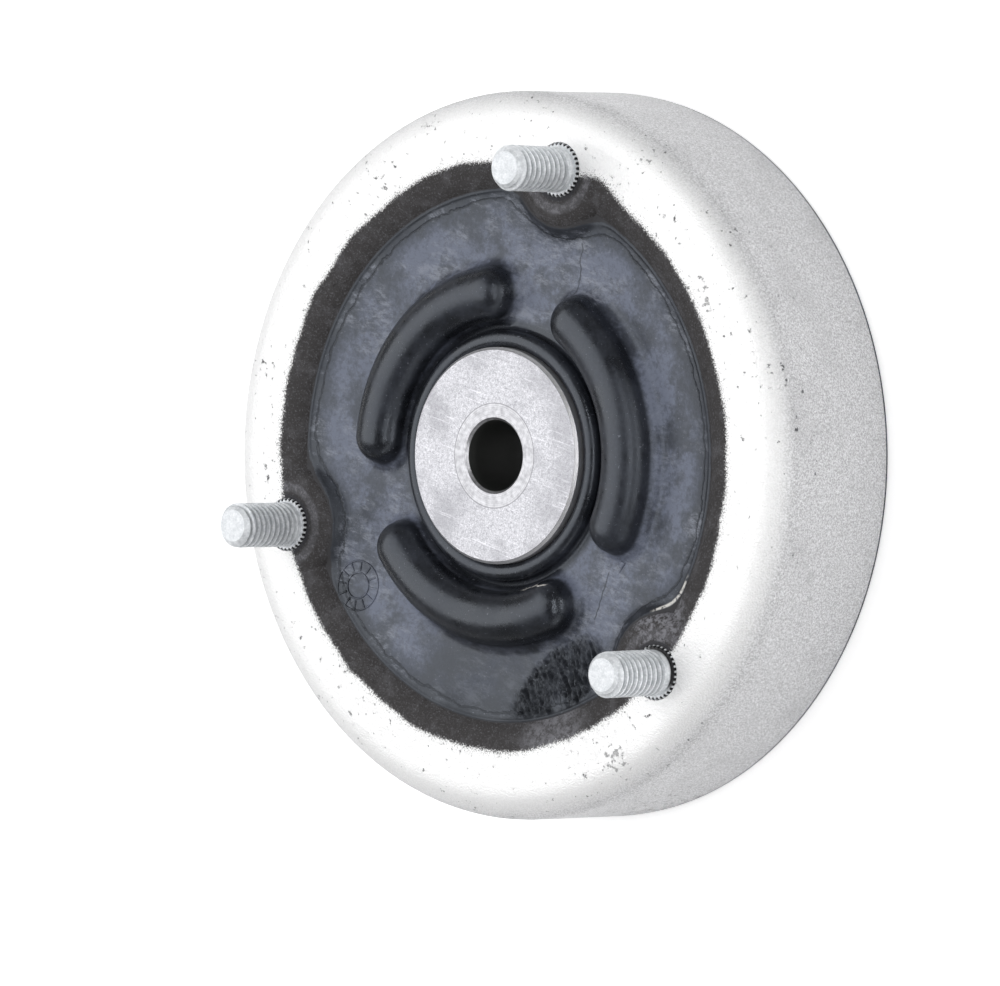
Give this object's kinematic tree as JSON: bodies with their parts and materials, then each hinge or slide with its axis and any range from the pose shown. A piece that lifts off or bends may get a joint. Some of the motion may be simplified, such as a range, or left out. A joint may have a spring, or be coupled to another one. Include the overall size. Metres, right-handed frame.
{
  "type": "strut mount",
  "caption": "Round strut mount: a die-cast drum with threaded studs holds a bonded rubber spring with raised ribs, which carries a bored metal hub.",
  "frame": {"origin": "centre of the drum's back, on the plane it stands on", "axes": "+Z along the bore towards the studs, first stud on +Y"},
  "size_m": [0.1284, 0.1284, 0.0427],
  "materials": {
    "cast_aluminium": "blasted casting",
    "rubber": "moulded, semi-matt with a pale bloom",
    "hub_aluminium": "satin",
    "sleeve_steel": "turned",
    "plated_steel": "zinc plated"
  },
  "bodies": {
    "housing": {"housing": "cast_aluminium", "rubber_body": "rubber", "studs": "plated_steel"},
    "hub": {"hub": "hub_aluminium", "sleeve": "sleeve_steel"}
  },
  "joints": [
    {"name": "hub_give", "type": "slide", "parent": "housing", "child": "hub", "axis": [0, 0, 1], "range_m": [-0.004, 0.003], "stiffness_N_per_m": 300000, "deforming": ["rubber_body"]}
  ]
}
